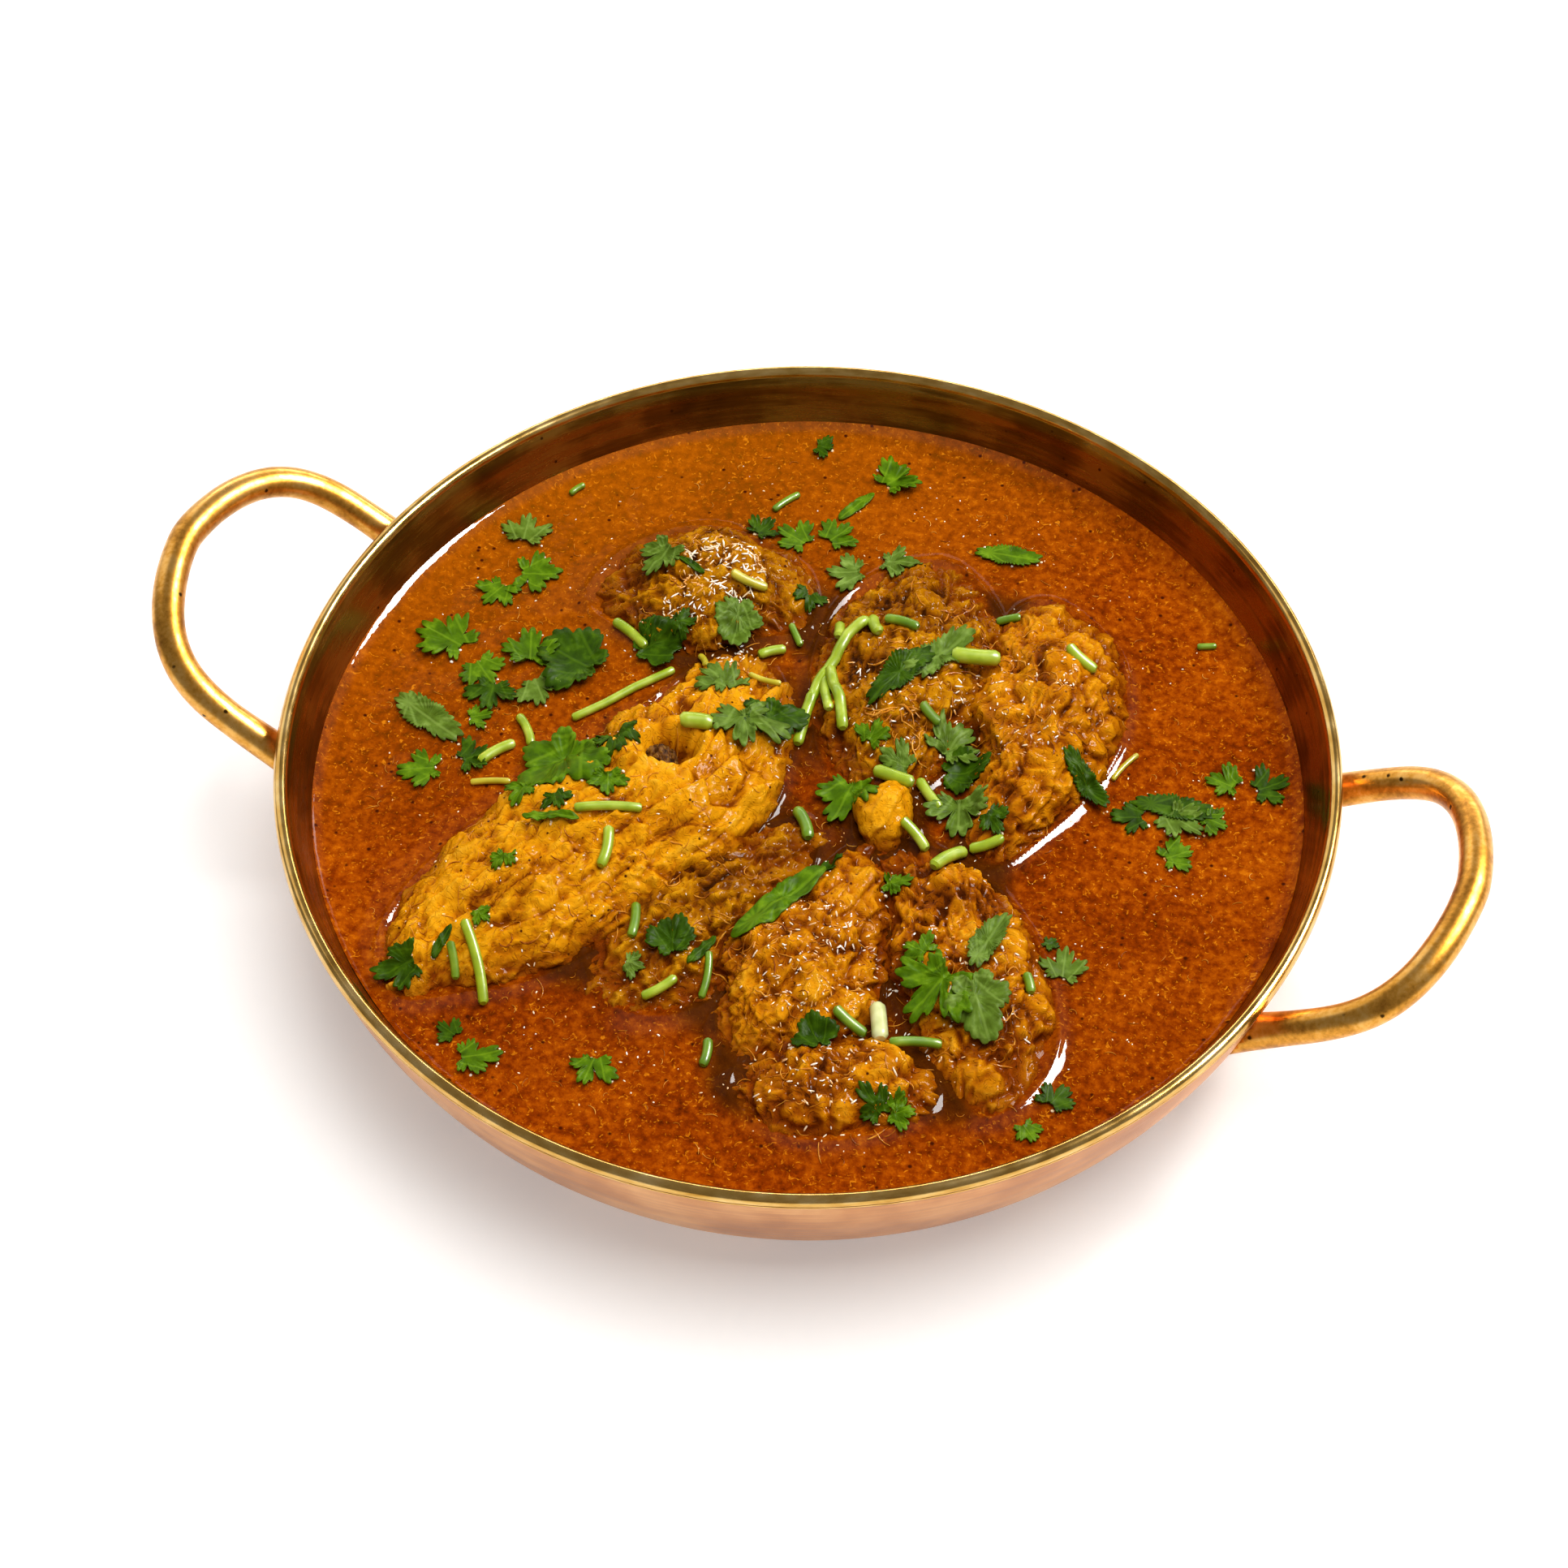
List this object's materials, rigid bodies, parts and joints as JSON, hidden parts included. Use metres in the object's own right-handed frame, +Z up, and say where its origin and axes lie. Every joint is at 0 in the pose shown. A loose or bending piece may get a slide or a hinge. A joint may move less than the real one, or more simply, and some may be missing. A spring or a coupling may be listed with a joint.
{
  "type": "chicken curry in a two-handled pan",
  "caption": "Chicken pieces in thick orange gravy with chopped coriander, in a round copper pan lined with brass, with a looped brass rod handle on each side.",
  "frame": {"origin": "on the surface the pan stands on, under the pan's centre", "axes": "+Z up out of the pan, +X through the middle of the right handle, so both handles lie on the x axis"},
  "size_m": [0.3349, 0.26, 0.0684],
  "materials": {
    "copper": "brushed copper, slightly dull, pinkish",
    "brass": "aged brass, polished by use, with fine turning marks",
    "gravy": "thick glossy orange-brown gravy with oil and ground spice",
    "chicken": "cooked chicken coated with gravy, wet",
    "bone": "dark rough end of a cooked bone"
  },
  "bodies": {
    "root": {"bone_end": "bone", "chicken_back": "chicken", "chicken_breast": "chicken", "chicken_end": "chicken", "chicken_leg": "chicken", "chicken_nub": "chicken", "chicken_skin_side": "chicken", "chicken_strip": "chicken", "chicken_thigh": "chicken", "chicken_wing": "chicken", "gravy": "gravy", "handle_left": "brass", "handle_right": "brass", "pan_lining": "brass", "pan_shell": "copper"}
  },
  "joints": []
}
